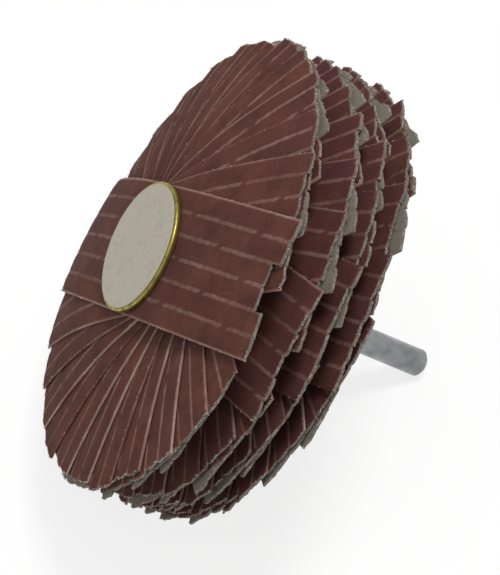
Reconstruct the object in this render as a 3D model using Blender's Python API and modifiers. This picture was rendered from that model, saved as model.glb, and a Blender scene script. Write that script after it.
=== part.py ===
"""Sanding star on a round shank.

Four packs of slashed abrasive cloth strips are threaded on a turned steel spindle and held
between two steel plates. Each strip crosses the spindle, so both of its ends reach the rim.
Within a pack every strip is turned a step further than the one in front of it, like a hand
of cards, so that a pack is thick at the hub and thin at the rim.

The star is modelled about its own axis, with +Z towards the front plate and z = 0 on the
rear plate's front face. The empty rest_pose then lays it down on its rearmost rim and the
end of its shank, the way it lies on a bench.
"""

import math
import random

import bmesh
import bpy
from mathutils import Matrix, Vector
from mathutils.geometry import intersect_ray_tri

# Abrasive cloth strips
STRIP_LENGTH = 0.100
STRIP_WIDTH = 0.028
CLOTH_THICKNESS = 0.00035
LAYER_CLEARANCE = 0.00025
FINGERS = 3
FINGER_LENGTH = 0.019
SLIT_OPENING = 0.0008
FINGERTIP_LIFT = 0.0001

# Packs of fanned strips
PACKS = 4
STRIPS_PER_PACK = 12
PACK_STARTS_DEG = (0.0, -12.0, -4.0, 1.0)
OPEN_ANGLES_DEG = (36.0, 26.0, 24.0, 15.0)
FIRST_STEP = 1.5
STEP_SPREAD = 0.25

# Form of a pack between the hub and the rim
FLAT_MARGIN = 0.0005
THINNING_LENGTH = 0.012
RIM_PITCH_SHARE = 0.26
RIM_LOOSENESS = 0.3
RIM_SETBACKS = (0.0046, 0.0066, 0.0052, 0.0037)
RIM_LEAN_RIGHT = 0.0022
RIM_LEANS_TOP = (-0.0027, -0.0030, -0.0037, -0.0045)
SETBACK_POWER = 2.0

# Plates and label
PLATE_THICKNESS = 0.0012
REAR_PLATE_THICKNESS = 0.0015
PLATE_EDGE_RADIUS = 0.0004
LABEL_THICKNESS = 0.00015
LABEL_MARGIN = 0.001
GLUE_LINE = 0.00005

# Spindle
SHANK_DIAMETER = 0.006
SHANK_LENGTH = 0.0395
SHANK_CHAMFER = 0.0006
COLLAR_DIAMETER = 0.011
COLLAR_LENGTH = 0.002
COLLAR_CHAMFER = 0.0003
TENON_DIAMETER = 0.005
HOLE_CLEARANCE = 0.0002
PLATE_CLEARANCE = 0.0001
RIVET_DIAMETER = 0.0068
RIVET_DEPTH = 0.0007
RIVET_SINK = 0.0001

# Rest pose: the side of the rim that lies lowest, seen from the front plate
REST_SIDE_DEG = 222.0

# Smoothness
PLATE_SEGMENTS = 32
SPINDLE_SEGMENTS = 24
HOLE_SEGMENTS = 8
EDGE_STEPS = 3
BEND_ROWS = 3
SEED = 11

# Sizes that follow from those above
LAYER_PITCH = CLOTH_THICKNESS + LAYER_CLEARANCE
STACK_HEIGHT = PACKS * STRIPS_PER_PACK * LAYER_PITCH
HALF_WIDTH = STRIP_WIDTH / 2
HALF_LENGTH = STRIP_LENGTH / 2
FLAT_RADIUS = HALF_WIDTH + FLAT_MARGIN
PLATE_RADIUS = HALF_WIDTH
HOLE_RADIUS = TENON_DIAMETER / 2 + HOLE_CLEARANCE


def material(name, colour, roughness, metallic=0.0):
    """A plain Principled material in the part's own colour."""
    mat = bpy.data.materials.new(name)
    mat.use_nodes = True
    shader = mat.node_tree.nodes["Principled BSDF"]
    shader.inputs["Base Color"].default_value = (*colour, 1.0)
    shader.inputs["Roughness"].default_value = roughness
    shader.inputs["Metallic"].default_value = metallic
    mat.diffuse_color = (*colour, 1.0)
    return mat


def add_object(name, mesh, mat, collection):
    """Puts a mesh in the scene under the rest pose."""
    obj = bpy.data.objects.new(name, mesh)
    if mat is not None:
        mesh.materials.append(mat)
    collection.objects.link(obj)
    obj.parent = rest_pose
    return obj


def shade(mesh, angle_deg):
    """Smooth shading with the sharp edges kept."""
    mesh.shade_smooth()
    mesh.set_sharp_from_angle(angle=math.radians(angle_deg))


def fan_angles(pack):
    """Directions of one pack's strips, front to back, in radians.

    The strips share half a turn less the pack's open angle, with small uneven steps and
    a wider first one. The front strip therefore shows both of its long edges."""
    rng = random.Random(SEED + pack)
    steps = [1 + STEP_SPREAD * rng.random() for _ in range(STRIPS_PER_PACK - 1)]
    steps[0] = FIRST_STEP
    share = math.radians(180 - OPEN_ANGLES_DEG[pack]) / sum(steps)
    angles = [math.radians(PACK_STARTS_DEG[pack])]
    for step in steps:
        angles.append(angles[-1] + step * share)
    return angles, min(steps) * share


def outward(radius):
    """How far a radius lies between the clamped hub (0) and the rim (1)."""
    return max(0.0, (radius - FLAT_RADIUS) / (HALF_LENGTH - FLAT_RADIUS))


def layer_drop(radius):
    """Height that a pack loses from one strip to the next at this radius.

    It is the full layer pitch in the hub, where all strips cross, and shrinks outwards,
    where fewer and fewer strips lie over each other."""
    past = max(0.0, radius - FLAT_RADIUS) / THINNING_LENGTH
    share = RIM_PITCH_SHARE + (1 - RIM_PITCH_SHARE) * (1 + past ** 2) ** -0.75
    return LAYER_PITCH * share


def setback(pack, radius, bearing):
    """How far a pack's cloth has bent back at this place, a little more on one side."""
    lean = RIM_LEAN_RIGHT * math.cos(bearing) + RIM_LEANS_TOP[pack] * math.sin(bearing)
    return (lean - RIM_SETBACKS[pack]) * outward(radius) ** SETBACK_POWER


def strip_height(pack, place, u, v, turn, step):
    """Height of a strip's front face above the middle of its pack in the hub.

    place counts strips from the front. (u, v) run along and across the strip, turn is
    its direction and step the smallest angle between two strips. Where two strips
    overlap, their slopes across keep them at least a layer pitch apart."""
    radius = math.hypot(u, v)
    drop = layer_drop(radius)
    pitch = LAYER_PITCH * (1 + RIM_LOOSENESS * outward(radius))
    across = math.copysign(math.asin(v / radius), u * v) if radius > HALF_WIDTH else 0.0
    bearing = math.atan2(v, u) + turn
    middle = (STRIPS_PER_PACK - 1) / 2 - place
    return middle * drop + (pitch - drop) * across / step + setback(pack, radius, bearing)


def strip_rows():
    """Radii of the bend lines on one half of a strip, up to where the fingers start."""
    root = HALF_LENGTH - FINGER_LENGTH
    return [FLAT_RADIUS * (root / FLAT_RADIUS) ** (i / BEND_ROWS) for i in range(BEND_ROWS + 1)]


def strip_mesh(name, pack, place, turn, step, rng):
    """One strip: a grid laid out on arcs about the hub, slit at its ends and bent to form."""
    radii = strip_rows()
    rows = 2 * len(radii) + 1
    bm = bmesh.new()
    bmesh.ops.create_grid(bm, x_segments=rows, y_segments=FINGERS, size=1.0)
    for vert in bm.verts:
        row = round((vert.co.x + 1) / 2 * rows)
        v = vert.co.y * HALF_WIDTH
        side = -1 if row <= rows // 2 else 1
        ring = row - rows // 2 - 1 if side > 0 else rows // 2 - row
        u = HALF_LENGTH if ring == len(radii) else math.sqrt(radii[ring] ** 2 - v ** 2)
        vert.co = Vector((side * u, v, 0.0))

    # The slits that run out at the ends part the strip into fingers.
    def at_tip(vert):
        return abs(vert.co.x) > HALF_LENGTH * 0.999

    def inside(vert):
        return abs(vert.co.y) < HALF_WIDTH * 0.999

    slits = [e for e in bm.edges
             if any(at_tip(v) for v in e.verts)
             and all(inside(v) for v in e.verts)
             and not all(at_tip(v) for v in e.verts)]
    bmesh.ops.split_edges(bm, edges=slits)

    heights = {v: strip_height(pack, place, v.co.x, v.co.y, turn, step) for v in bm.verts}
    fingers = [f for f in bm.faces if any(at_tip(v) for v in f.verts)]
    for finger in fingers:
        middle = finger.calc_center_median().y
        lift = rng.uniform(-FINGERTIP_LIFT, FINGERTIP_LIFT)
        for vert in filter(at_tip, finger.verts):
            heights[vert] += lift
            if inside(vert):
                vert.co.y += math.copysign(SLIT_OPENING / 2, middle - vert.co.y)
    for vert in bm.verts:
        vert.co.z = heights[vert]

    sheet = bmesh.ops.extrude_face_region(bm, geom=bm.faces[:])
    under = [g for g in sheet["geom"] if isinstance(g, bmesh.types.BMVert)]
    bmesh.ops.translate(bm, verts=under, vec=(0, 0, -CLOTH_THICKNESS))
    bmesh.ops.recalc_face_normals(bm, faces=bm.faces[:])
    bmesh.ops.rotate(bm, verts=bm.verts[:], matrix=Matrix.Rotation(turn, 3, "Z"))

    mesh = bpy.data.meshes.new(name)
    bm.to_mesh(mesh)
    bm.free()
    shade(mesh, 40)
    return mesh


def add_punch(collection):
    """The cutter that punches the spindle hole through the whole stack of strips."""
    bpy.ops.mesh.primitive_cylinder_add(
        vertices=HOLE_SEGMENTS, radius=HOLE_RADIUS, depth=STACK_HEIGHT * 1.2,
        location=(0, 0, STACK_HEIGHT / 2))
    punch = bpy.context.object
    punch.name = "punch"
    for owner in list(punch.users_collection):
        owner.objects.unlink(punch)
    collection.objects.link(punch)
    punch.parent = rest_pose
    punch.hide_render = True
    punch.display_type = "WIRE"
    return punch


def add_strips(cloth, punch):
    """All packs, front to back, with their strips numbered from the front."""
    strips = []
    pack_height = STRIPS_PER_PACK * LAYER_PITCH
    for pack in range(PACKS):
        rng = random.Random(SEED * 100 + pack)
        angles, step = fan_angles(pack)
        hub_middle = STACK_HEIGHT - (pack + 0.5) * pack_height + CLOTH_THICKNESS / 2
        for place, turn in enumerate(angles):
            name = f"strip_{pack + 1}_{place + 1:02d}"
            strip = add_object(name, strip_mesh(name, pack, place, turn, step, rng), cloth, parts)
            strip.location.z = hub_middle
            hole = strip.modifiers.new("spindle_hole", "BOOLEAN")
            hole.object = punch
            hole.operation = "DIFFERENCE"
            hole.solver = "EXACT"
            strips.append(strip)
    return strips


def turned(name, profile, segments, mat, closed):
    """A turned piece: a profile of (radius, height) points swept about the axis."""
    mesh = bpy.data.meshes.new(name)
    count = len(profile)
    edges = [(i, i + 1) for i in range(count - 1)]
    if closed:
        edges.append((count - 1, 0))
    mesh.from_pydata([(radius, 0, height) for radius, height in profile], edges, [])
    obj = add_object(name, mesh, mat, parts)
    sweep = obj.modifiers.new("turning", "SCREW")
    sweep.steps = segments
    sweep.render_steps = segments
    sweep.use_merge_vertices = True
    sweep.merge_threshold = 0.00001
    sweep.use_smooth_shade = True
    return obj


def corner_arc(centre, radius, start_deg, end_deg):
    """Points of a rounded corner on a profile."""
    points = []
    for i in range(EDGE_STEPS + 1):
        angle = math.radians(start_deg + (end_deg - start_deg) * i / EDGE_STEPS)
        points.append((centre[0] + radius * math.cos(angle), centre[1] + radius * math.sin(angle)))
    return points


def add_front_plate(mat):
    """The coloured front plate, rounded in front and countersunk for the riveted tenon."""
    low = STACK_HEIGHT
    high = low + PLATE_THICKNESS
    sink_radius = RIVET_DIAMETER / 2 + HOLE_CLEARANCE
    profile = [(HOLE_RADIUS, high - RIVET_DEPTH), (sink_radius, high)]
    profile += corner_arc((PLATE_RADIUS - PLATE_EDGE_RADIUS, high - PLATE_EDGE_RADIUS),
                          PLATE_EDGE_RADIUS, 90, 0)
    profile += [(PLATE_RADIUS, low), (HOLE_RADIUS, low)]
    return turned("front_plate", profile, PLATE_SEGMENTS, mat, closed=True)


def add_rear_plate(mat):
    """The plain steel plate behind the last pack."""
    high = -PLATE_CLEARANCE
    low = high - REAR_PLATE_THICKNESS
    profile = [(HOLE_RADIUS, high), (PLATE_RADIUS, high)]
    profile += corner_arc((PLATE_RADIUS - PLATE_EDGE_RADIUS, low + PLATE_EDGE_RADIUS),
                          PLATE_EDGE_RADIUS, 0, -90)
    profile += [(HOLE_RADIUS, low)]
    return turned("rear_plate", profile, PLATE_SEGMENTS, mat, closed=True)


def add_spindle(mat):
    """The spindle: tenon with its riveted end, collar behind the rear plate, and shank."""
    tenon = TENON_DIAMETER / 2
    shank = SHANK_DIAMETER / 2
    collar = COLLAR_DIAMETER / 2
    head = STACK_HEIGHT + PLATE_THICKNESS - RIVET_SINK
    neck = STACK_HEIGHT + PLATE_THICKNESS - RIVET_DEPTH - RIVET_SINK
    seat = -REAR_PLATE_THICKNESS - 2 * PLATE_CLEARANCE
    root = seat - COLLAR_LENGTH
    end = root - SHANK_LENGTH
    profile = [
        (0.0, head),
        (RIVET_DIAMETER / 2 - HOLE_CLEARANCE / 2, head),
        (tenon, neck),
        (tenon, seat),
        (collar - COLLAR_CHAMFER, seat),
        (collar, seat - COLLAR_CHAMFER),
        (collar, root + COLLAR_CHAMFER),
        (collar - COLLAR_CHAMFER, root),
        (shank, root),
        (shank, end + SHANK_CHAMFER),
        (shank - SHANK_CHAMFER, end),
        (0.0, end),
    ]
    return turned("spindle", profile, SPINDLE_SEGMENTS, mat, closed=False)


def add_label(mat):
    """The round paper label glued on the front plate."""
    bpy.ops.mesh.primitive_cylinder_add(
        vertices=PLATE_SEGMENTS, radius=PLATE_RADIUS - LABEL_MARGIN, depth=LABEL_THICKNESS,
        location=(0, 0, 0))
    made = bpy.context.object
    mesh = made.data
    bpy.data.objects.remove(made)
    mesh.name = "label"
    shade(mesh, 40)
    label = add_object("label", mesh, mat, parts)
    label.location.z = STACK_HEIGHT + PLATE_THICKNESS + GLUE_LINE + LABEL_THICKNESS / 2
    return label


def solid_points(objects):
    """Corner points of the finished solids, in the frame of the world."""
    graph = bpy.context.evaluated_depsgraph_get()
    points = []
    for obj in objects:
        final = obj.evaluated_get(graph)
        mesh = final.to_mesh()
        points += [obj.matrix_world @ v.co for v in mesh.vertices]
        final.to_mesh_clear()
    return points


def lie_down(objects):
    """Sets the rest pose: the hull face that the star stands on becomes the floor.

    Of the hull faces that hold the weight above themselves, so that the star stops
    rolling there, the one that looks nearest to the chosen side is taken."""
    points = solid_points(objects)
    hull = bmesh.new()
    for point in points:
        hull.verts.new(point)
    made = bmesh.ops.convex_hull(hull, input=hull.verts[:])
    side = math.radians(REST_SIDE_DEG)
    wanted = Vector((math.cos(side), math.sin(side), -1.0)).normalized()
    weight = Vector((0, 0, STACK_HEIGHT / 2))
    faces = [g for g in made["geom"] if isinstance(g, bmesh.types.BMFace)]
    stable = []
    for face in faces:
        corners = [v.co for v in face.verts[:3]]
        if intersect_ray_tri(*corners, face.normal, weight):
            stable.append(face.normal.copy())
    hull.free()
    down = max(stable, key=lambda normal: normal.dot(wanted))

    turn = down.rotation_difference(Vector((0, 0, -1))).to_matrix()
    shank = turn @ Vector((0, 0, -1))
    heading = Matrix.Rotation(-math.atan2(shank.y, shank.x), 3, "Z")
    pose = (heading @ turn).to_4x4()
    placed = [pose @ point for point in points]
    low = [min(p[i] for p in placed) for i in range(3)]
    high = [max(p[i] for p in placed) for i in range(3)]
    pose.translation = Vector((-(low[0] + high[0]) / 2, -(low[1] + high[1]) / 2, -low[2]))
    rest_pose.matrix_world = pose


for old in list(bpy.data.objects):
    bpy.data.objects.remove(old)

parts = bpy.data.collections.new("sanding_star")
cutters = bpy.data.collections.new("cutters")
bpy.context.scene.collection.children.link(parts)
bpy.context.scene.collection.children.link(cutters)
rest_pose = bpy.data.objects.new("rest_pose", None)
parts.objects.link(rest_pose)

cloth_red = material("aluminium oxide cloth", (0.107, 0.042, 0.029), 0.85)
brass = material("brass", (0.33, 0.27, 0.08), 0.35, 0.9)
bare_steel = material("bright steel", (0.32, 0.32, 0.30), 0.35, 1.0)
paper_white = material("label paper", (0.55, 0.52, 0.45), 0.6)

pieces = add_strips(cloth_red, add_punch(cutters))
pieces.append(add_front_plate(brass))
pieces.append(add_rear_plate(bare_steel))
pieces.append(add_spindle(bare_steel))
pieces.append(add_label(paper_white))
bpy.context.view_layer.update()
lie_down(pieces)
bpy.context.view_layer.update()
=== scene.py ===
# %% [markdown]
# # A sanding star
#
# A sanding star is a stack of slashed abrasive cloth strips on a steel shank. It is held in
# a drill, and its fingers whip the surface of carved or curved wood. This lesson dresses
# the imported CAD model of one: every strip gets its slits, its grit, its woven backing and
# its frayed threads, and the turned parts get their metal.
#
# All sizes are in metres, in the frame of the CAD model.

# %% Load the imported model
import math
import random

import bmesh
import bpy
from mathutils import Matrix, Vector


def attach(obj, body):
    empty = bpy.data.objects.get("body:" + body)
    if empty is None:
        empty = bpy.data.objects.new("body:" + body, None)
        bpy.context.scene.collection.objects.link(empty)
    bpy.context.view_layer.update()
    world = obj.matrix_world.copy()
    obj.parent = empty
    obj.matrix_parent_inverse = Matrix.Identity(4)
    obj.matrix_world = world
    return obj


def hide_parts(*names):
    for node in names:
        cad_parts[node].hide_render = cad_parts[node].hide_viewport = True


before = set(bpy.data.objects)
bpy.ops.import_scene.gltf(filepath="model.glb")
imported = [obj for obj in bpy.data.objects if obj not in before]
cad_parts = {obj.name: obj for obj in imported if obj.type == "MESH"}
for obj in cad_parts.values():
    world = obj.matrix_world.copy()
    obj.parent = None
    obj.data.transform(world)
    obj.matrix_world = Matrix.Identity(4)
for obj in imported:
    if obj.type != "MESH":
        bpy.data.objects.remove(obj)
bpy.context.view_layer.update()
print("CAD nodes:", len(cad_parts))

# %% [markdown]
# ## How the star lies
#
# The star is easiest to think of about its own axis, with the label on top. The CAD model
# lies on its rim and the end of its shank, so one matrix carries the star's own frame to
# the place where it lies. Each object could be turned by it, but the export puts every
# object back at the origin, and its patterns would slide. So every finished mesh goes
# through the matrix once, and its object stays at the origin, unturned.

# %% The lying pose
LYING = Matrix((
    (0.5027572, 0.5482794, -0.6683000, 0.0063370),
    (-0.7370418, 0.6758472, 0.0000001, 0.0),
    (0.4516687, 0.4925650, 0.7438919, 0.0337385),
    (0.0, 0.0, 0.0, 1.0)))
print("The star's axis points to", [round(c, 3) for c in LYING.col[2][:3]])

# %% [markdown]
# ## The packs of strips
#
# The real star is built up from packs of cloth strips, each fanned out like a hand of cards
# and all clamped in the hub. The strips could be turned by hand, one by one, but a rule
# with a seed gives the same directions as the CAD model has. The second strip of a pack
# takes a larger step, the others turn by nearly even ones, and an open angle is left where
# the fan ends.

# %% Sizes and directions of the strips
MM = 0.001
STRIP_LENGTH = 100 * MM
STRIP_WIDTH = 28 * MM
HALF_LENGTH = STRIP_LENGTH / 2
HALF_WIDTH = STRIP_WIDTH / 2
CLOTH_THICKNESS = 0.35 * MM
LAYER_PITCH = 0.60 * MM
PACKS = 4
STRIPS_PER_PACK = 12
STACK_HEIGHT = PACKS * STRIPS_PER_PACK * LAYER_PITCH
PACK_STARTS_DEG = (0.0, -12.0, -4.0, 1.0)
OPEN_ANGLES_DEG = (36.0, 26.0, 24.0, 15.0)
FIRST_STEP = 1.5
STEP_SPREAD = 0.25
SEED = 11


def fan_angles(pack):
    """Directions of one pack's strips, front to back, in radians, and the smallest step."""
    rng = random.Random(SEED + pack)
    steps = [1 + STEP_SPREAD * rng.random() for _ in range(STRIPS_PER_PACK - 1)]
    steps[0] = FIRST_STEP
    share = math.radians(180 - OPEN_ANGLES_DEG[pack]) / sum(steps)
    angles = [math.radians(PACK_STARTS_DEG[pack])]
    for step in steps:
        angles.append(angles[-1] + step * share)
    return angles, min(steps) * share


print("Stack height in the hub:", round(STACK_HEIGHT / MM, 1), "mm")
print("Front pack's directions:", [round(math.degrees(a)) for a in fan_angles(0)[0]])

# %% [markdown]
# ## How a pack bends
#
# Where all the strips of a pack cross, in the hub, they lie a full layer apart. Towards the
# rim fewer of them overlap, so the pack thins out, and its rim leans back. A cloth
# simulation could find such a shape, but its strips would leave their solids. The CAD
# model's own rule of heights is used instead, so a strip made here lies where its solid
# does. Out there a strip also rises across its width, to pass over the strips beside it. A
# strip's spot is its pack, its layer in it, its direction and the smallest step.

# %% The height of a strip
FLAT_RADIUS = 14.5 * MM
THINNING_LENGTH = 12 * MM
THINNING_POWER = 0.75
RIM_PITCH_SHARE = 0.26
RIM_LOOSENESS = 0.3
RIM_SETBACKS = (4.6 * MM, 6.6 * MM, 5.2 * MM, 3.7 * MM)
RIM_LEAN_RIGHT = 2.2 * MM
RIM_LEANS_TOP = (-2.7 * MM, -3.0 * MM, -3.7 * MM, -4.5 * MM)
SETBACK_POWER = 2.0


def outward(radius):
    """How far a radius lies between the clamped hub (0) and the rim (1)."""
    return max(0.0, (radius - FLAT_RADIUS) / (HALF_LENGTH - FLAT_RADIUS))


def strip_height(spot, u, v):
    """Height of a strip's front face above the middle of its pack in the hub."""
    pack, layer, turn, step = spot
    radius = math.hypot(u, v)
    past = max(0.0, radius - FLAT_RADIUS) / THINNING_LENGTH
    share = RIM_PITCH_SHARE + (1 - RIM_PITCH_SHARE) * (1 + past ** 2) ** -THINNING_POWER
    drop = LAYER_PITCH * share
    pitch = LAYER_PITCH * (1 + RIM_LOOSENESS * outward(radius))
    across = math.copysign(math.asin(v / radius), u * v) if radius > HALF_WIDTH else 0.0
    bearing = math.atan2(v, u) + turn
    lean = RIM_LEAN_RIGHT * math.cos(bearing) + RIM_LEANS_TOP[pack] * math.sin(bearing)
    setback = (lean - RIM_SETBACKS[pack]) * outward(radius) ** SETBACK_POWER
    middle = (STRIPS_PER_PACK - 1) / 2 - layer
    return middle * drop + (pitch - drop) * across / step + setback


front_angles, front_step = fan_angles(0)
front_spot = (0, 0, front_angles[0], front_step)
print("The front strip's right end lies",
      round((strip_height(front_spot, 0, 0) - strip_height(front_spot, HALF_LENGTH, 0)) / MM, 1),
      "mm lower than its middle")

# %% [markdown]
# ## Colours and nodes
#
# Colours are written as the eye reads them, in sRGB hex, and one function turns them into
# the linear values that the renderer wants. A material is a tree of shader nodes. One small
# function adds a node with its settings and links and gives back its output, so that each
# material below reads as a short list of steps. The same way of filling inputs serves for
# the Principled shader at the end of each list.


# %% Helpers for colours and nodes
def colour(code):
    """An sRGB hex colour as linear RGBA."""
    channels = [int(code[i:i + 2], 16) / 255 for i in (1, 3, 5)]
    linear = [c / 12.92 if c <= 0.04045 else ((c + 0.055) / 1.055) ** 2.4 for c in channels]
    return (*linear, 1.0)


def new_material(name):
    """An empty Principled material, with its node tree and shader."""
    mat = bpy.data.materials.new(name)
    mat.use_nodes = True
    return mat, mat.node_tree, mat.node_tree.nodes["Principled BSDF"]


def plug(tree, target, inputs):
    """Fills a node's inputs. A value is set, and another node's output is linked."""
    for key, value in inputs.items():
        if isinstance(value, bpy.types.NodeSocket):
            tree.links.new(value, target.inputs[key])
        else:
            target.inputs[key].default_value = value


def node(tree, kind, inputs, output=0, **settings):
    """Adds a shader node, fills its inputs and gives one of its outputs."""
    made = tree.nodes.new("ShaderNode" + kind)
    for key, value in settings.items():
        setattr(made, key, value)
    plug(tree, made, inputs)
    return made.outputs[output]


print("The dark resin in linear values:", [round(c, 3) for c in colour("#502F28")])

# %% [markdown]
# ## Patterns on the cloth
#
# A pattern needs a place to read. The strip's own UV map follows the cloth through every
# bend, which the object's coordinates don't. One unit of the map is 100 mm of cloth, and a
# scale turns it into millimetres. The scale of each noise below is then its number of
# features per millimetre, so every pattern keeps its real size. Most finishes are made like
# a wash of paint: a second colour is laid over the first where a pattern is strong.

# %% Coordinates and washes
MAP_UNIT = 100 * MM


def strip_coordinates(tree):
    """Place on the flat strip, in millimetres."""
    uv = node(tree, "UVMap", {}, uv_map="strip")
    return node(tree, "VectorMath", {0: uv, 3: MAP_UNIT / MM}, operation="SCALE")


def object_coordinates(tree):
    """Place in the object's own frame, in millimetres."""
    place = node(tree, "TexCoord", {}, "Object")
    return node(tree, "VectorMath", {0: place, 3: 1 / MM}, operation="SCALE")


def wash(tree, first, second, value, low, high, least=0.0, most=1.0, mask=None):
    """Lays a second colour over the first.

    Its share runs from least to most while the value runs from low to high. A mask
    weakens it further."""
    share = node(tree, "MapRange", {0: value, 1: low, 2: high, 3: least, 4: most})
    if mask is not None:
        share = node(tree, "Math", {0: share, 1: mask}, operation="MULTIPLY")
    return node(tree, "Mix", {0: share, 6: first, 7: second}, 2, data_type="RGBA")


print("One unit of a strip's map is", round(MAP_UNIT / MM), "mm of cloth")

# %% [markdown]
# ## Abrasive cloth: the grit side
#
# The face is aluminium oxide grit, electro-coated into dark red-brown resin on cloth. It is
# matt and rough, and the resin is mottled over several millimetres. Real grains are a fifth
# of a millimetre or less, too fine to show here, so they are drawn about twice as coarse.
# Each strip's map starts at a place of its own, so no two are mottled alike.
#
# Three attributes on the mesh carry marks. "cut" is 1 on each cut, where the grit has
# broken off in a thin pale line, and above 1 it stands for a long side that has chipped
# down to raw cotton. "worn" is 1 where a strip reaches out past the end of the one in front
# and is rubbed down to smoother grey-green cloth. These two are what use has done. The
# third is 1 on the three packs behind, where a purple tint in patches is painted shade: it
# stands in for the cooler colour that shade takes deep in the stack.

# %% The resin and its grains
grit, tree, shader = new_material("aluminium oxide grit")
place = strip_coordinates(tree)

mottle = node(tree, "TexNoise", {"Vector": place, "Scale": 0.14, "Detail": 5.0,
                                 "Roughness": 0.6})
base = wash(tree, colour("#502F28"), colour("#643D32"), mottle, 0.35, 0.65)
thick_resin = node(tree, "TexNoise", {"Vector": place, "Scale": 0.04, "Detail": 3.0})
base = wash(tree, base, colour("#4C2D2E"), thick_resin, 0.50, 0.70, 0.0, 0.6)
# Painted shade: a purple tint laid in patches over the grit of the three packs behind, for the
# cooler colour of shade deep in the stack.
painted_shade_tint = node(tree, "Attribute", {}, "Fac", attribute_name="painted_shade_tint")
patches = node(tree, "TexNoise", {"Vector": place, "Scale": 0.05, "Detail": 3.0,
                                  "Roughness": 0.6})
base = wash(tree, base, colour("#532E38"), patches, 0.35, 0.65, 0.10, 0.65, painted_shade_tint)
grain = node(tree, "TexNoise", {"Vector": place, "Scale": 2.6, "Roughness": 0.7})
base = wash(tree, base, colour("#33201E"), grain, 0.30, 0.48, 0.40, 0.0)
base = wash(tree, base, colour("#8A6254"), grain, 0.62, 0.75, 0.0, 0.3)
print("Resin and grains have", len(tree.nodes), "nodes")

# %% [markdown]
# ## Abrasive cloth: where the grit is gone
#
# A line of one width and colour along every cut would look drawn. On the real cloth the
# grit breaks off unevenly, so the edge of each mark wanders, and a slow noise makes the
# marks strong in one place and faint in another. The bare cloth is smoother than the grit,
# so the bump is weaker there.

# %% Cuts, chipped sides and bare tips
wander = node(tree, "MapRange", {0: node(tree, "TexNoise", {"Vector": place, "Scale": 0.7}),
                                 1: 0.3, 2: 0.7, 3: -0.40, 4: 0.40})
marked = node(tree, "Attribute", {}, "Fac", attribute_name="cut")
cut = node(tree, "Math", {0: wander, 1: 0.5, 2: marked}, operation="MULTIPLY_ADD")
strength = node(tree, "TexNoise", {"Vector": place, "Scale": 0.06, "Detail": 3.0,
                                   "Roughness": 0.6})
uneven = node(tree, "MapRange", {0: strength, 1: 0.35, 2: 0.65, 3: 0.40, 4: 0.90})
base = wash(tree, base, colour("#93736A"), cut, 0.30, 1.05, mask=uneven)
in_places = node(tree, "MapRange", {0: node(tree, "TexNoise", {"Vector": place, "Scale": 0.10}),
                                    1: 0.40, 2: 0.60, 3: 0.25, 4: 1.0})
base = wash(tree, base, colour("#B3A096"), cut, 1.1, 2.0, 0.0, 0.9, mask=in_places)

rubbed = node(tree, "Attribute", {}, "Fac", attribute_name="worn")
bare = node(tree, "Math", {0: rubbed, 1: wander}, operation="ADD")
cloth = wash(tree, colour("#6A655A"), colour("#807A6F"), grain, 0.35, 0.65)
base = wash(tree, base, cloth, bare, 0.35, 0.75)
height = node(tree, "MapRange", {0: bare, 1: 0.35, 2: 0.75, 3: 1.0, 4: 0.3})
height = node(tree, "Math", {0: grain, 1: height}, operation="MULTIPLY")
plug(tree, shader, {
    "Base Color": base, "Roughness": 0.85, "Specular IOR Level": 0.12,
    "Normal": node(tree, "Bump", {"Strength": 0.6, "Distance": 0.12 * MM, "Height": height})})
print("Grit material has", len(tree.nodes), "nodes")

# %% [markdown]
# ## Abrasive cloth: the backing
#
# The back is cotton twill filled with grey-green size, dull and lightly stained. Two
# crossed waves give its weave: a picture of cloth would do it too, but waves need no file.
# Real threads lie closer than this, too fine to show, so they are drawn somewhat coarser.

# %% The backing
THREADS_PER_MM = 1.6
WAVE_SCALE = 0.314  # a wave texture of scale 1 has 20 / (2 pi) bands a unit

backing, tree, shader = new_material("sized cotton backing")
place = strip_coordinates(tree)
crossed = [node(tree, "TexWave", {"Vector": place, "Scale": THREADS_PER_MM * WAVE_SCALE,
                                  "Distortion": 0.6}, "Fac", bands_direction=way)
           for way in ("X", "Y")]
weave = node(tree, "Math", {0: crossed[0], 1: crossed[1]}, operation="MULTIPLY")
cloth = node(tree, "Mix", {0: weave, 6: colour("#63645C"), 7: colour("#8A8B82")}, 2,
             data_type="RGBA")
stain = node(tree, "TexNoise", {"Vector": place, "Scale": 0.2, "Detail": 4.0,
                                "Roughness": 0.6})
cloth = wash(tree, cloth, colour("#6B5A50"), stain, 0.45, 0.75, 0.0, 0.5)
plug(tree, shader, {
    "Base Color": cloth, "Roughness": 0.8,
    "Normal": node(tree, "Bump", {"Strength": 0.5, "Distance": 0.1 * MM, "Height": weave})})
print("Backing has", len(tree.nodes), "nodes")

# %% [markdown]
# ## Abrasive cloth: the fray
#
# The cut ends are bare cotton, fuzzy and dusty, and scatter the light softly. The threads
# that have come loose from them are cleaner and lighter. One plain grey would look like
# cut card, so both get a noise. It reads the object's coordinates, because the strip's map
# is stretched flat on these walls and the threads have no map.

# %% Frayed cotton and loose threads
cotton, tree, shader = new_material("frayed cotton")
place = object_coordinates(tree)
fuzz = node(tree, "TexNoise", {"Vector": place, "Scale": 1.8, "Detail": 4.0, "Roughness": 0.7})
cloth = wash(tree, colour("#57514A"), colour("#8A8279"), fuzz, 0.38, 0.62)
dust = node(tree, "TexNoise", {"Vector": place, "Scale": 0.3, "Detail": 3.0, "Roughness": 0.6})
cloth = wash(tree, cloth, colour("#6E574F"), dust, 0.45, 0.65, 0.0, 0.6)
plug(tree, shader, {
    "Base Color": cloth, "Roughness": 1.0, "Specular IOR Level": 0.1,
    "Normal": node(tree, "Bump", {"Strength": 0.8, "Distance": 0.2 * MM, "Height": fuzz})})

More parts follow.
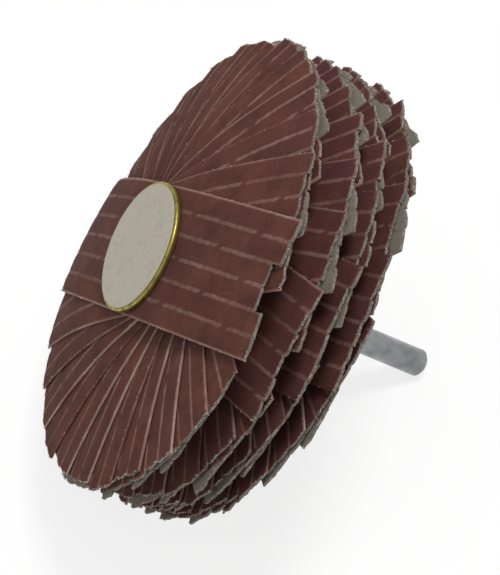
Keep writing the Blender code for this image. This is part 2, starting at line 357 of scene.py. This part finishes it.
loose, tree, shader = new_material("loose cotton threads")
clean = node(tree, "TexNoise", {"Vector": object_coordinates(tree), "Scale": 0.5,
                                "Detail": 3.0, "Roughness": 0.6})
tint = wash(tree, colour("#8A8078"), colour("#C2B9AF"), clean, 0.4, 0.6)
plug(tree, shader, {"Base Color": tint, "Roughness": 1.0})
print("Cloth materials:", [mat.name for mat in (grit, backing, cotton, loose)])

# %% [markdown]
# ## Cutting the slits
#
# The cloth is slashed in rows, and the slits of one row face the bridges of the next, like
# bricks. A row whose slit reaches the end of the strip parts it into fingers. Slits could
# be drawn in the material, but real openings part the fingers at the rim and catch a
# shadow. One short rule says where the bridges of a row are, and everything else about the
# slits follows from it.

# %% The slit pattern
FINGERS = 6
LANE_WIDTH = STRIP_WIDTH / FINGERS
SLIT_ROWS = tuple(k * LANE_WIDTH for k in (-2, -1, 0, 1, 2))
SLIT_PERIOD = 23.2 * MM
SLIT_WIDTH = 0.06 * MM
BRIDGE = 3.4 * MM
FIRST_BRIDGE = (16.3 * MM, 28.6 * MM)  # in the even and in the odd rows
REPEATS = range(-5, 4)  # enough periods to cross the strip, wherever its pattern starts


def bridge_ends(row, shift):
    """Start and end of each bridge of a row along the strip."""
    middles = (FIRST_BRIDGE[row % 2] + shift + k * SLIT_PERIOD for k in REPEATS)
    return [(middle - BRIDGE / 2, middle + BRIDGE / 2) for middle in middles
            if abs(middle) < HALF_LENGTH + BRIDGE]


def bridged(row, u, shift):
    """Whether a bridge holds the cloth together at u in a row."""
    return any(low < u < high for low, high in bridge_ends(row, shift))


print("Bridges of the middle row run from and to",
      [(round(low / MM, 1), round(high / MM, 1)) for low, high in bridge_ends(2, 0.0)], "mm")

# %% [markdown]
# ## Lines for the grid
#
# The strip is a grid whose cells are deleted where the cloth is open. An even grid would
# have to be very fine to meet every slit, so its lines are uneven: one on each lip of a
# slit, one at each end of a bridge, one down the middle of each finger, and one a halo away
# from every cut, where the pale mark of the broken grit ends.

# %% The grid's lines
HALO = 0.70 * MM  # how far a cut's broken grit reaches
CELL_LENGTH = 1.7 * MM  # about how far apart the lines along may be


def lines_across():
    """Grid lines across the strip's width, with one on each lip of a slit."""
    lines = [-HALF_WIDTH, -HALF_WIDTH + HALO, HALF_WIDTH - HALO, HALF_WIDTH]
    for row in SLIT_ROWS:
        for side in (-1, 1):
            lines += [row + side * (SLIT_WIDTH / 2 + away) for away in (0, HALO)]
    lines += [(k + 0.5) * LANE_WIDTH for k in range(-3, 3)]
    return sorted(lines)


def lines_along(shift):
    """Grid lines along the strip, with one at each end of a slit and no wide gaps."""
    fixed = {-HALF_LENGTH, -HALF_LENGTH + HALO, HALF_LENGTH - HALO, HALF_LENGTH}
    for row in (0, 1):
        for pair in bridge_ends(row, shift):
            fixed.update(x for x in pair if abs(x) < HALF_LENGTH - 2 * HALO)
    fixed = sorted(fixed)
    lines = [fixed[0]]
    for x in fixed[1:]:
        start = lines[-1]
        count = max(1, round((x - start) / CELL_LENGTH))
        lines += [start + (x - start) * (i + 1) / count for i in range(count)]
    return lines


ACROSS = lines_across()
print("Lines across:", len(ACROSS), "| lines along:", len(lines_along(0.0)))

# %% [markdown]
# ## Worn ends
#
# A star wears at its rim. The leading corner of a strip lies open and is rubbed rounder
# than the trailing one, which hides behind the strip in front, and the left ends of the
# photographed star are rounder than its right ends. Behind the front strip, whole strips
# have worn by different amounts, so that wide bare tips show past the shorter ones. Each
# finger ends up a little shorter or longer than its neighbour. Every end could be cut to a
# drawn outline, but 96 of them would have to be drawn, so seeded amounts say how far each
# finger has worn. Left (-1) and right (1) are the ends of the strip at -u and +u.

# %% Amounts of wear
LEADING_RADIUS = {-1: (49.9 * MM, 50.5 * MM), 1: (51.0 * MM, 51.7 * MM)}
STRIP_WEAR = 1.6 * MM
FINGER_WEAR = 0.8 * MM
FINGER_ROUNDING = 0.25 * MM


def finger_wear(shift, rng):
    """How far each lane is worn back at either end, which slits run out there, and where
    the leading corner has got to.

    Lanes between two slits that run out at the end are one finger and wear together."""
    wear = {}
    for side in (-1, 1):
        whole = STRIP_WEAR * rng.random() ** 2 if shift else 0.0
        amount = whole + rng.uniform(0, FINGER_WEAR)
        wear[side, "slits"] = set()
        for lane in range(FINGERS):
            if lane and not bridged(lane - 1, side * HALF_LENGTH, shift):
                amount = whole + rng.uniform(0, FINGER_WEAR)
                wear[side, "slits"].add(lane - 1)
            wear[side, lane] = amount
        wear[side, "corner"] = rng.uniform(*LEADING_RADIUS[side])
        wear[side, "rounding"] = FINGER_ROUNDING
    return wear


sample = finger_wear(0.0, random.Random(SEED))
print("Wear of the fingers at the left end of a strip, in mm:",
      [round(sample[-1, lane] / MM, 2) for lane in range(FINGERS)])

# %% [markdown]
# ## The worn outline
#
# The worn end is an arc about the star's axis, stepped back at each finger, and each finger
# is rounded towards the slits beside it. Cutting planes could trim the grid to it, but they
# would leave thin slivers. A rule for where a point near the end of the flat strip goes is
# better here, because the grid keeps its cells and the loose threads can follow it too.

# %% The rule of wear
TRAILING_RADIUS = 51.3 * MM
WEAR_LENGTH = 6 * MM  # the pull on the end fades to nothing over this length


def wear_back(u, v, wear):
    """Pulls a point near the end of the strip back to the worn outline."""
    start = HALF_LENGTH - WEAR_LENGTH
    if abs(u) < start:
        return u
    side = 1 if u > 0 else -1
    lane = sum(v > row for row in SLIT_ROWS)
    radius = wear[side, "corner"] if u * v > 0 else TRAILING_RADIUS
    end = min(HALF_LENGTH, math.sqrt(radius ** 2 - v ** 2)) - wear[side, lane]
    off_middle = v - (lane - (FINGERS - 1) / 2) * LANE_WIDTH
    nearest_slit = lane if off_middle > 0 else lane - 1
    if nearest_slit in wear[side, "slits"]:
        end -= wear[side, "rounding"] * (abs(off_middle) / (LANE_WIDTH / 2)) ** 2
    return side * (start + (abs(u) - start) * (end - start) / WEAR_LENGTH)


print("The middle of that left end lies at", round(wear_back(-HALF_LENGTH, 0.0, sample) / MM, 2),
      "mm")

# %% [markdown]
# ## The flat strip
#
# The strip starts flat, as it does when it is cut from the roll. A Boolean modifier could
# cut it, but would need a cutter for every slit. With the lines in place it is enough to
# delete the cells inside the slits and the spindle's hole. The ends are then worn back and
# made ragged, point by point, as torn cotton is.

# %% Cutting a flat strip
HOLE_RADIUS = 2.7 * MM
RAGGED = 0.50 * MM


def is_open(middle, shift):
    """Whether a cell lies in the spindle's hole or in a slit."""
    if middle.length < HOLE_RADIUS:
        return True
    return any(abs(middle.y - v) < SLIT_WIDTH / 2 and not bridged(row, middle.x, shift)
               for row, v in enumerate(SLIT_ROWS))


def flat_strip(shift, wear, rng):
    """The flat sheet with its slits and its worn ends."""
    along = lines_along(shift)
    bm = bmesh.new()
    bmesh.ops.create_grid(bm, x_segments=len(along) - 1, y_segments=len(ACROSS) - 1, size=1.0)
    for vert in bm.verts:
        column = round((vert.co.x + 1) / 2 * (len(along) - 1))
        line = round((vert.co.y + 1) / 2 * (len(ACROSS) - 1))
        vert.co = Vector((along[column], ACROSS[line], 0.0))

    opened = [face for face in bm.faces if is_open(face.calc_center_median(), shift)]
    bmesh.ops.delete(bm, geom=opened, context="FACES")

    for vert in bm.verts:
        ragged = rng.uniform(0, RAGGED) if abs(vert.co.x) > HALF_LENGTH - HALO / 2 else 0.0
        vert.co.x = wear_back(vert.co.x, vert.co.y, wear)
        vert.co.x -= math.copysign(ragged, vert.co.x)
    return bm


print("Hole for the spindle:", round(2 * HOLE_RADIUS / MM, 1), "mm across")

# %% [markdown]
# ## Marks on the strip
#
# While the strip is flat, every point gets its numbers for the material: cut, worn, and the
# mask of a painted shade, a purple tint on the packs behind. Two more say how thick the
# cloth will be. Towards its ends it has swollen, as cotton does where it frays, on some
# strips more than on others. Its long sides are pressed thin and lie close on the strip
# behind. On some strips more grit has chipped off there, and more at the left than at the
# right. All this could be painted on by hand, but a rule does the 48 strips at once.

# %% Marking a strip
MARKS = ("cut", "worn", "painted_shade_tint", "swell", "pressed")
MAP_STARTS = (0, 9)  # in units of the map
BARE_FROM = (46.0 * MM, 50.4 * MM)
BARE_OVER = 0.8 * MM
FILL = 0.07 * MM  # of grit on the front, and of size on the back
END_SWELL = (0.0, 0.14 * MM)
SWELL_LENGTH = 5 * MM
SIDE_PRESS = 0.28 * MM
PRESSED_WIDTH = 2.5 * MM
CHIPPED_SIDES = {-1: (0.6, 2.3), 1: (0.3, 1.8)}  # least and most of "cut" there


def mark_strip(bm, spot, lag, rng):
    """Gives each point of the flat strip its marks, and the strip its map.

    lag is the angle back to the strip in front, past whose ends this one has worn bare."""
    pack, layer, _, _ = spot
    cut, worn, painted_shade_tint, swell, pressed = [bm.verts.layers.float.new(mark) for mark in MARKS]
    uv = bm.loops.layers.uv.new("strip")
    start = Vector((rng.uniform(*MAP_STARTS), rng.uniform(*MAP_STARTS)))
    end_swell = rng.uniform(*END_SWELL)
    chipped = rng.random()
    bare_from = rng.uniform(*BARE_FROM)
    for face in bm.faces:
        for loop in face.loops:
            loop[uv].uv = start + loop.vert.co.xy / MAP_UNIT
    for vert in bm.verts:
        u, v = vert.co.xy
        near_end = max(0.0, (abs(u) - HALF_LENGTH + SWELL_LENGTH) / SWELL_LENGTH)
        near_side = max(0.0, (abs(v) - HALF_WIDTH + PRESSED_WIDTH) / PRESSED_WIDTH)
        if vert.is_boundary:
            least, most = CHIPPED_SIDES[1 if u > 0 else -1]
            on_long_side = abs(v) > HALF_WIDTH - HALO / 2
            vert[cut] = least + (most - least) * chipped if on_long_side else 1.0
        reach = abs(u * math.cos(lag) - v * math.sin(lag)) if layer else 0.0
        vert[worn] = min(1.0, max(0.0, (reach - bare_from) / BARE_OVER))
        # Painted shade: the three packs behind get the purple tint that stands in for their
        # shade.
        vert[painted_shade_tint] = 1.0 if pack else 0.0
        vert[swell] = FILL + end_swell * near_end ** 2
        vert[pressed] = SIDE_PRESS * near_side ** 2


print("Marks at each point:", ", ".join(MARKS))

# %% [markdown]
# ## Thickening the cloth
#
# Cloth is a sheet with a front, a back and cut walls between them. A Solidify modifier
# would give it one thickness all over, so the face is extruded instead, and each point of
# the back takes its own swelling and pressing. Walls that look along the strip are frayed
# cotton, and those in the slits and on the long sides keep the broken grit of the face.

# %% Thickening a strip
THINNED_SHARE = 0.7  # how much of the pressing makes the cloth itself thinner
FACES_THE_END = 0.5  # the least that a cotton wall's normal points along the strip
BACKING_SLOT, COTTON_SLOT = 1, 2


def thicken(bm):
    """Gives the bent face its back and its walls, with their materials."""
    swell, pressed = [bm.verts.layers.float[mark] for mark in ("swell", "pressed")]
    front = bm.faces[:]
    result = bmesh.ops.extrude_face_region(bm, geom=front, use_keep_orig=True)
    under = [g for g in result["geom"] if isinstance(g, bmesh.types.BMVert)]
    back = [g for g in result["geom"] if isinstance(g, bmesh.types.BMFace)]
    for vert in under:
        vert.co.z -= CLOTH_THICKNESS + 2 * vert[swell] - THINNED_SHARE * vert[pressed]
    for face in back:
        face.material_index = BACKING_SLOT
    bmesh.ops.recalc_face_normals(bm, faces=bm.faces[:])
    for face in set(bm.faces) - set(front) - set(back):
        if abs(face.normal.x) > FACES_THE_END:
            face.material_index = COTTON_SLOT
    for mark in ("pressed", "swell"):
        bm.verts.layers.float.remove(bm.verts.layers.float[mark])


print("Cloth is", round((CLOTH_THICKNESS + 2 * FILL) / MM, 2), "mm thick with its grit and size")

# %% [markdown]
# ## Bending the strip into its place
#
# The hub clamps the strips flat, and towards the rim they bend back. A strip could be bent
# with an armature, but the rule of heights is already there: every point of the flat face
# is lifted by it, the cloth is thickened, and the whole strip is then turned to its
# direction and put where it lies.

# %% Making a strip
SHARP_ANGLE = math.radians(40)


def to_the_fan(spot):
    """The matrix from a strip's own frame to where the strip lies."""
    pack, _, turn, _ = spot
    hub = STACK_HEIGHT - (pack + 0.5) * STRIPS_PER_PACK * LAYER_PITCH + CLOTH_THICKNESS / 2
    return LYING @ Matrix.Translation((0, 0, hub)) @ Matrix.Rotation(turn, 4, "Z")


def finished(name, bm, materials):
    """Makes a bmesh an object at the origin, smooth with its sharp edges kept."""
    mesh = bpy.data.meshes.new(name)
    bm.to_mesh(mesh)
    bm.free()
    mesh.shade_smooth()
    mesh.set_sharp_from_angle(angle=SHARP_ANGLE)
    for mat in materials:
        mesh.materials.append(mat)
    piece = bpy.data.objects.new(name, mesh)
    bpy.context.scene.collection.objects.link(piece)
    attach(piece, "root")
    return piece


def dressed_strip(name, spot, shift, wear, lag, rng):
    """A whole strip, put where it lies, and the area of its flat cloth."""
    bm = flat_strip(shift, wear, rng)
    area = sum(face.calc_area() for face in bm.faces)
    mark_strip(bm, spot, lag, rng)
    swell, pressed = [bm.verts.layers.float[mark] for mark in ("swell", "pressed")]
    for vert in bm.verts:
        height = strip_height(spot, vert.co.x, vert.co.y)
        vert.co.z = height + vert[swell] - vert[pressed]
    thicken(bm)
    bm.transform(to_the_fan(spot))
    return finished(name, bm, (grit, backing, cotton)), area


print("The front pack's middle lies", round(to_the_fan(front_spot).translation.z / MM, 1),
      "mm above the floor")

# %% [markdown]
# ## Loose threads
#
# At the cut ends the cloth's long threads have come loose and stand out by up to half a
# millimetre, and a few cross threads stand out at the sides. Hair or a bump in a material
# could hint at them, but only real geometry makes the rim soft against a white ground and
# goes into the finished model. Each thread is a slim three-sided cone with its foot inside
# the cloth.

# %% Making a strip's threads
END_THREADS_PER_MM = 7.0
SIDE_THREADS_PER_MM = 0.35
END_THREAD = (0.25 * MM, 0.60 * MM)
SIDE_THREAD = (0.15 * MM, 0.35 * MM)
THREAD_RADIUS = (0.06 * MM, 0.12 * MM)
END_FOOT = (0.3 * MM, 0.7 * MM)
SIDE_FOOT = 0.1 * MM
SIDE_THREADS_TO = HALF_LENGTH - 2 * MM
FOOT_HEIGHT = (-0.6, 0.2)  # in thicknesses of the cloth
END_LEAN = ((0, 0.5), (-0.3, 0.9))  # mean and spread, across the strip and upwards
SIDE_LEAN = ((0, 0.5), (-0.1, 0.2))  # mean and spread, along the strip and upwards


def add_thread(bm, foot, way, length, rng):
    """One thread: a slim cone from its foot in the cloth, along way."""
    turn = way.to_track_quat("Z", "Y").to_matrix().to_4x4()
    middle = Matrix.Translation(foot + way.normalized() * length / 2) @ turn
    bmesh.ops.create_cone(bm, cap_ends=True, segments=3, radius1=rng.uniform(*THREAD_RADIUS),
                          radius2=0.0, depth=length, matrix=middle)


def loose_threads(name, spot, wear, rng):
    """The threads that stand out round the ends and sides of a strip."""
    bm = bmesh.new()

    def cloth_point(u, v):
        inside = rng.uniform(*FOOT_HEIGHT) * CLOTH_THICKNESS
        return Vector((u, v, strip_height(spot, u, v) + inside))

    for side in (-1, 1):
        for _ in range(int(STRIP_WIDTH / MM * END_THREADS_PER_MM)):
            v = rng.uniform(-HALF_WIDTH, HALF_WIDTH)
            u = wear_back(side * HALF_LENGTH, v, wear) - side * rng.uniform(*END_FOOT)
            way = Vector((side, rng.gauss(*END_LEAN[0]), rng.gauss(*END_LEAN[1])))
            length = rng.uniform(*END_THREAD)
            add_thread(bm, cloth_point(u, v), way, length, rng)
        for _ in range(int((STRIP_LENGTH - 2 * FLAT_RADIUS) / MM * SIDE_THREADS_PER_MM)):
            reach = rng.uniform(FLAT_RADIUS, SIDE_THREADS_TO)
            u = rng.choice((-1, 1)) * reach
            v = side * (HALF_WIDTH - SIDE_FOOT)
            way = Vector((rng.gauss(*SIDE_LEAN[0]), side, rng.gauss(*SIDE_LEAN[1])))
            length = rng.uniform(*SIDE_THREAD)
            add_thread(bm, cloth_point(u, v), way, length, rng)
    bm.transform(to_the_fan(spot))
    return finished(name, bm, (loose,))


print("Threads at each end of a strip:", int(STRIP_WIDTH / MM * END_THREADS_PER_MM))

# %% [markdown]
# ## All strips
#
# Each strip has a seed of its own, so one can be changed without a change in the others.
# Its pattern of slits starts anywhere in a period, as strips cut from a long roll do. The
# front strip is the one that the photograph shows whole, so its pattern follows that: the
# middle finger of its right end is short, and the fingers of its left end are round.

# %% Making all strips
SEEDS_PER_PACK = 1000
SHORT_FINGER = 3.0 * MM
SHORT_LANES = (2, 3)
FRONT_ROUNDING = 1.8 * MM

for pack in range(PACKS):
    angles, step = fan_angles(pack)
    for layer, turn in enumerate(angles):
        number = f"{pack + 1}_{layer + 1:02d}"
        spot = (pack, layer, turn, step)
        is_front = pack == 0 and layer == 0
        rng = random.Random(SEEDS_PER_PACK * pack + layer)
        shift = 0.0 if is_front else rng.uniform(-0.5, 0.5) * SLIT_PERIOD
        wear = finger_wear(shift, rng)
        if is_front:
            wear.update({(1, lane): SHORT_FINGER for lane in SHORT_LANES})
            wear[-1, "rounding"] = FRONT_ROUNDING
        lag = turn - angles[max(0, layer - 1)]
        piece, area = dressed_strip(f"cloth_{number}", spot, shift, wear, lag, rng)
        threads = loose_threads(f"threads_{number}", spot, wear, rng)
        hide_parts(f"strip_{number}")

# %% [markdown]
# ## The turned parts
#
# The plates, the label and the spindle are round, so each is a profile spun about the
# star's axis. Cylinders could stand in for them, but a profile has the small roundings that
# catch the light. The CAD model has these parts with few sides; here they get enough to
# look round close up.

# %% Spinning a profile
SPIN_STEPS = 128
MERGE_DISTANCE = 0.001 * MM


def arc(centre, radius, start_deg, end_deg, count=5):
    """Points of a rounded corner on a profile, as (radius, height)."""
    points = []
    for i in range(count + 1):
        angle = math.radians(start_deg + (end_deg - start_deg) * i / count)
        points.append((centre[0] + radius * math.cos(angle),
                       centre[1] + radius * math.sin(angle)))
    return points


def turned(name, profile, closed, mat, replaced):
    """A round piece: the profile, in millimetres, spun about the star's axis."""
    bm = bmesh.new()
    verts = [bm.verts.new((radius * MM, 0.0, height * MM)) for radius, height in profile]
    pairs = list(zip(verts, verts[1:]))
    if closed:
        pairs.append((verts[-1], verts[0]))
    edges = [bm.edges.new(pair) for pair in pairs]
    bmesh.ops.spin(bm, geom=verts + edges, cent=(0, 0, 0), axis=(0, 0, 1),
                   angle=math.tau, steps=SPIN_STEPS, use_merge=True)
    bmesh.ops.remove_doubles(bm, verts=bm.verts[:], dist=MERGE_DISTANCE)
    bmesh.ops.recalc_face_normals(bm, faces=bm.faces[:])
    bm.transform(LYING)
    piece = finished(name, bm, (mat,))
    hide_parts(replaced)
    print(name, "has", len(piece.data.polygons), "faces")


print("A turned piece has", SPIN_STEPS, "sides")

# %% [markdown]
# ## Turned brass
#
# The front plate is turned brass, slightly tarnished, so its colour and its gloss change a
# little from place to place. Fine rings from the lathe draw the highlight out along its
# rim. The rings could be cut into the profile, but they are far too fine for that, so a
# noise raises them in the material. Its coordinates are stretched: it changes fast along
# the star's axis and hardly at all across it. A Mapping node turns the object's
# coordinates back into the star's own frame for this.

# %% Brass
BRASS_RINGS = (40.0, 40.0, 9000.0)  # features per metre across and along the axis


def star_coordinates(tree, per_metre=(1 / MM, 1 / MM, 1 / MM)):
    """Place in the star's own frame, in millimetres unless the axes have other scales."""
    back = LYING.inverted()
    place = node(tree, "Mapping", {"Vector": node(tree, "TexCoord", {}, "Object"),
                                   "Location": back.to_translation(),
                                   "Rotation": back.to_euler()})
    return node(tree, "VectorMath", {0: place, 1: per_metre}, operation="MULTIPLY")


brass, tree, shader = new_material("turned brass")
tarnish = node(tree, "TexNoise", {"Vector": star_coordinates(tree), "Scale": 0.5,
                                  "Detail": 4.0, "Roughness": 0.6})
rings = node(tree, "TexNoise", {"Vector": star_coordinates(tree, BRASS_RINGS), "Scale": 1.0})
plug(tree, shader, {
    "Base Color": wash(tree, colour("#AFA257"), colour("#7C7139"), tarnish, 0.40, 0.70),
    "Roughness": node(tree, "MapRange", {0: tarnish, 1: 0.40, 2: 0.70, 3: 0.38, 4: 0.52}),
    "Metallic": 1.0,
    "Normal": node(tree, "Bump", {"Strength": 0.2, "Distance": 0.02 * MM, "Height": rings})})
print("Brass has", len(tree.nodes), "nodes")

# %% [markdown]
# ## Ground steel
#
# The shank and the washer are ground steel, a darker and glossier metal than the brass. An
# even grey would look like plastic. The grinding has left rings so fine that they only
# spread the reflections a little, and handling has left soft marks, several millimetres
# wide, that are duller and darker.

# %% Steel
STEEL_RINGS = (60.0, 60.0, 6000.0)  # features per metre across and along the axis

steel, tree, shader = new_material("ground steel")
handled = node(tree, "TexNoise", {"Vector": star_coordinates(tree), "Scale": 0.3,
                                  "Detail": 3.0})
rings = node(tree, "TexNoise", {"Vector": star_coordinates(tree, STEEL_RINGS), "Scale": 1.0,
                                "Detail": 3.0})
tint = wash(tree, colour("#8E9191"), colour("#787B7B"), handled, 0.35, 0.65)
plug(tree, shader, {
    "Base Color": wash(tree, tint, colour("#606464"), rings, 0.35, 0.65, 0.0, 0.15),
    "Roughness": node(tree, "MapRange", {0: handled, 1: 0.35, 2: 0.65, 3: 0.16, 4: 0.28}),
    "Metallic": 1.0,
    "Normal": node(tree, "Bump", {"Strength": 0.04, "Distance": 0.01 * MM, "Height": rings})})
print("Steel has", len(tree.nodes), "nodes")

# %% [markdown]
# ## Label paper
#
# The label is uncoated paper, a warm grey that is matt to the eye. Its fibres give it a
# faint grain and a slight roughness, and dust has settled on it in patches. A picture of
# paper would do, but two noises need no file.

# %% Paper
paper, tree, shader = new_material("uncoated label paper")
place = star_coordinates(tree)
fibres = node(tree, "TexNoise", {"Vector": place, "Scale": 1.5, "Detail": 5.0,
                                 "Roughness": 0.7})
dust = node(tree, "TexNoise", {"Vector": place, "Scale": 0.35, "Detail": 5.0,
                               "Roughness": 0.65})
tint = wash(tree, colour("#AAA495"), colour("#B6B0A1"), fibres, 0.35, 0.65)
plug(tree, shader, {
    "Base Color": wash(tree, tint, colour("#958D7F"), dust, 0.52, 0.75, 0.0, 0.55),
    "Roughness": 0.7,
    "Normal": node(tree, "Bump", {"Strength": 0.3, "Distance": 0.03 * MM, "Height": fibres})})
print("Paper has", len(tree.nodes), "nodes")

# %% [markdown]
# ## The brass plate
#
# The brass plate presses on the front strip, and its bore opens in a chamfer for the
# riveted end of the spindle. It could be a cylinder with a Bevel modifier, but the two
# edges of its rim are rounded differently, and a profile gives both at once. The profile
# goes once round the section, and it is closed, because a bore runs through. All profiles
# are in millimetres, from the star's axis and up from the back of the stack.

# %% The plate
BORE = 2.7
CHAMFERED_BORE = 3.6
CHAMFER_FOOT = 29.3
PLATE_RADIUS = 14.0
PLATE_BACK = 28.8
PLATE_FRONT = 30.0
RIM_ROUNDING = 0.4
BACK_ROUNDING = 0.15

rim = PLATE_RADIUS - RIM_ROUNDING
profile = [(BORE, CHAMFER_FOOT), (CHAMFERED_BORE, PLATE_FRONT)]
profile += arc((rim, PLATE_FRONT - RIM_ROUNDING), RIM_ROUNDING, 90, 0)
profile += arc((PLATE_RADIUS - BACK_ROUNDING, PLATE_BACK + BACK_ROUNDING),
               BACK_ROUNDING, 0, -90, 2)
profile += [(BORE, PLATE_BACK)]
turned("brass_plate", profile, True, brass, "front_plate")

# %% [markdown]
# ## The label
#
# The label is a disc of paper, glued on the plate, and leaves only a narrow ring of brass.
# A flat disc would do from afar, but paper that is glued over a rivet stands up by a hair
# in the middle, and its cut edge is soft. The profile gives it both. It starts and ends on
# the axis, so it stays open and the spin closes it.

# %% The label's disc
LABEL_RADIUS = 13.35
LABEL_BACK = 30.05
LABEL_FRONT = 30.19
LABEL_MIDDLE = 30.20
LABEL_ROUNDING = 0.07
BULGE_TOP = 3.2
BULGE_FOOT = 3.8
FLAT_TO = 13.2

profile = [(0.0, LABEL_MIDDLE), (BULGE_TOP, LABEL_MIDDLE)]
profile += [(BULGE_FOOT, LABEL_FRONT), (FLAT_TO, LABEL_FRONT)]
profile += arc((LABEL_RADIUS - LABEL_ROUNDING, LABEL_FRONT - LABEL_ROUNDING),
               LABEL_ROUNDING, 90, 0, 2)
profile += [(LABEL_RADIUS, LABEL_BACK), (0.0, LABEL_BACK)]
turned("paper_label", profile, False, paper, "label")

# %% [markdown]
# ## The steel washer
#
# The washer closes the stack from behind and bears on the spindle's collar. It can't be
# seen in the photograph, so it is made the same size as the brass plate. A plain disc would
# do there, but anyone who turns the model round sees its edge, so that is rounded too.

# %% The washer
WASHER_FRONT = -0.1
WASHER_BACK = -1.6

profile = [(BORE, WASHER_FRONT), (PLATE_RADIUS, WASHER_FRONT)]
profile += arc((rim, WASHER_BACK + RIM_ROUNDING), RIM_ROUNDING, 0, -90)
profile += [(BORE, WASHER_BACK)]
turned("steel_washer", profile, True, steel, "rear_plate")

# %% [markdown]
# ## The spindle
#
# The spindle is turned from one bar: a tenon that runs through the stack and is riveted
# over the plate, a collar that the washer bears on, and the round shank that the drill
# grips. It could be three cylinders, but a turned bar has fillets where they meet and a
# chamfer at its end, and those catch the light.

# %% The spindle's bar
RIVET_RADIUS = 3.3
RIVET_TOP = 29.9
RIVET_FOOT = 29.2
TENON_RADIUS = 2.5
COLLAR_RADIUS = 5.5
COLLAR_FRONT = -1.7
COLLAR_BACK = -3.7
FILLET = 0.3
SHANK_RADIUS = 3.0
SHANK_END = -43.2
CHAMFER = ((3.0, 0.95), (2.93, 0.80), (2.2, 0.07), (2.05, 0.0))  # radius, height over the end

collar_rim = COLLAR_RADIUS - FILLET
profile = [(0.0, RIVET_TOP), (RIVET_RADIUS, RIVET_TOP)]
profile += [(TENON_RADIUS, RIVET_FOOT), (TENON_RADIUS, COLLAR_FRONT)]
profile += arc((collar_rim, COLLAR_FRONT - FILLET), FILLET, 90, 0, 3)
profile += arc((collar_rim, COLLAR_BACK + FILLET), FILLET, 0, -90, 3)
profile += arc((SHANK_RADIUS + FILLET, COLLAR_BACK - FILLET), FILLET, 90, 180, 3)
profile += [(radius, SHANK_END + above) for radius, above in CHAMFER]
profile += [(0.0, SHANK_END)]
turned("steel_spindle", profile, False, steel, "spindle")

# %% [markdown]
# ## The floor
#
# The photograph is a cut-out on white, with a soft pale shadow under the rim and the
# shank. A pale floor takes that shadow. A brighter lamp would wash the floor out to white,
# and the star with it. Instead the floor shows the camera partly its own plain white, so
# the shadow stays faint, while it lights the star as matt white paper would.

# %% The floor
SHOWN_WHITE = 0.78  # the share of plain white in what the camera sees of the floor
FLOOR_HALF = 3.0

white, tree, shader = new_material("white paper floor")
plug(tree, shader, {"Base Color": colour("#FAFAF9"), "Roughness": 1.0,
                    "Specular IOR Level": 0.0})
camera_ray = node(tree, "LightPath", {}, "Is Camera Ray")
rays = camera_ray.node.outputs
mirrored = node(tree, "Math", {0: rays["Is Glossy Ray"], 1: rays["Is Transmission Ray"]},
                operation="ADD")
seen = node(tree, "Math", {0: camera_ray, 1: mirrored}, operation="ADD")
share = node(tree, "Math", {0: seen, 1: SHOWN_WHITE}, operation="MULTIPLY")
glow = node(tree, "Emission", {"Color": colour("#FFFFFF"), "Strength": 1.0})
mixed = node(tree, "MixShader", {0: share, 1: shader.outputs[0], 2: glow})
plug(tree, tree.nodes["Material Output"], {"Surface": mixed})

bm = bmesh.new()
bmesh.ops.create_grid(bm, x_segments=1, y_segments=1, size=FLOOR_HALF)
floor_mesh = bpy.data.meshes.new("floor")
bm.to_mesh(floor_mesh)
bm.free()
floor_mesh.materials.append(white)
floor = bpy.data.objects.new("floor", floor_mesh)
bpy.context.scene.collection.objects.link(floor)
print("Floor:", 2 * FLOOR_HALF, "m wide")

# %% [markdown]
# ## The light
#
# The photograph is lit softly from all round, with one pale shadow to the left of the star
# and below it. Several lamps could give that light, but each would throw a shadow of its
# own. So the world gives plain light from all round, and one soft lamp above the star's
# right side throws the one shadow.

# %% The world and the lamp
SKY_STRENGTH = 0.62
LAMP_PLACE = Vector((0.42, 0.04, 1.00))
LAMP_TARGET = Vector((0, 0, 0.04))
LAMP_SIZE = 0.28
LAMP_POWER = 6.5

world = bpy.data.worlds.new("studio")
bpy.context.scene.world = world
world.use_nodes = True
plug(world.node_tree, world.node_tree.nodes["Background"],
     {"Color": colour("#FFFFFF"), "Strength": SKY_STRENGTH})

lamp_data = bpy.data.lights.new("key", "AREA")
lamp_data.shape = "SQUARE"
lamp_data.size = LAMP_SIZE
lamp_data.energy = LAMP_POWER
lamp = bpy.data.objects.new("key", lamp_data)
lamp.location = LAMP_PLACE
lamp.rotation_euler = (LAMP_TARGET - LAMP_PLACE).to_track_quat("-Z", "Y").to_euler()
bpy.context.scene.collection.objects.link(lamp)
print("Lamp:", round((LAMP_PLACE - LAMP_TARGET).length, 2), "m from the star")

# %% [markdown]
# ## The camera
#
# The camera stands where the photograph was taken from: above the star and far enough round
# to its side to see the stepped rims of the packs as well as the label. It could be moved
# about until the picture fits, but its place was worked out from the outline of the label,
# the corners of the front strip and the shank. It is written in the star's own frame.

# %% Setting the camera
CAMERA_IN_STAR = Matrix((
    (0.442949, -0.141022, 0.885386, 0.404529),
    (0.368629, 0.928861, -0.036475, -0.015706),
    (-0.817257, 0.342536, 0.463423, 0.214511),
    (0.0, 0.0, 0.0, 1.0)))
SENSOR_HEIGHT_MM = 36.0
LENS_MM = 137.74

camera_data = bpy.data.cameras.new("camera")
camera_data.sensor_fit = "VERTICAL"
camera_data.sensor_height = SENSOR_HEIGHT_MM
camera_data.lens = LENS_MM
camera = bpy.data.objects.new("camera", camera_data)
camera.matrix_world = LYING @ CAMERA_IN_STAR
bpy.context.scene.collection.objects.link(camera)
bpy.context.scene.camera = camera
bpy.context.scene.view_settings.view_transform = "Standard"
print("Camera at", [round(c, 3) for c in camera.matrix_world.translation])
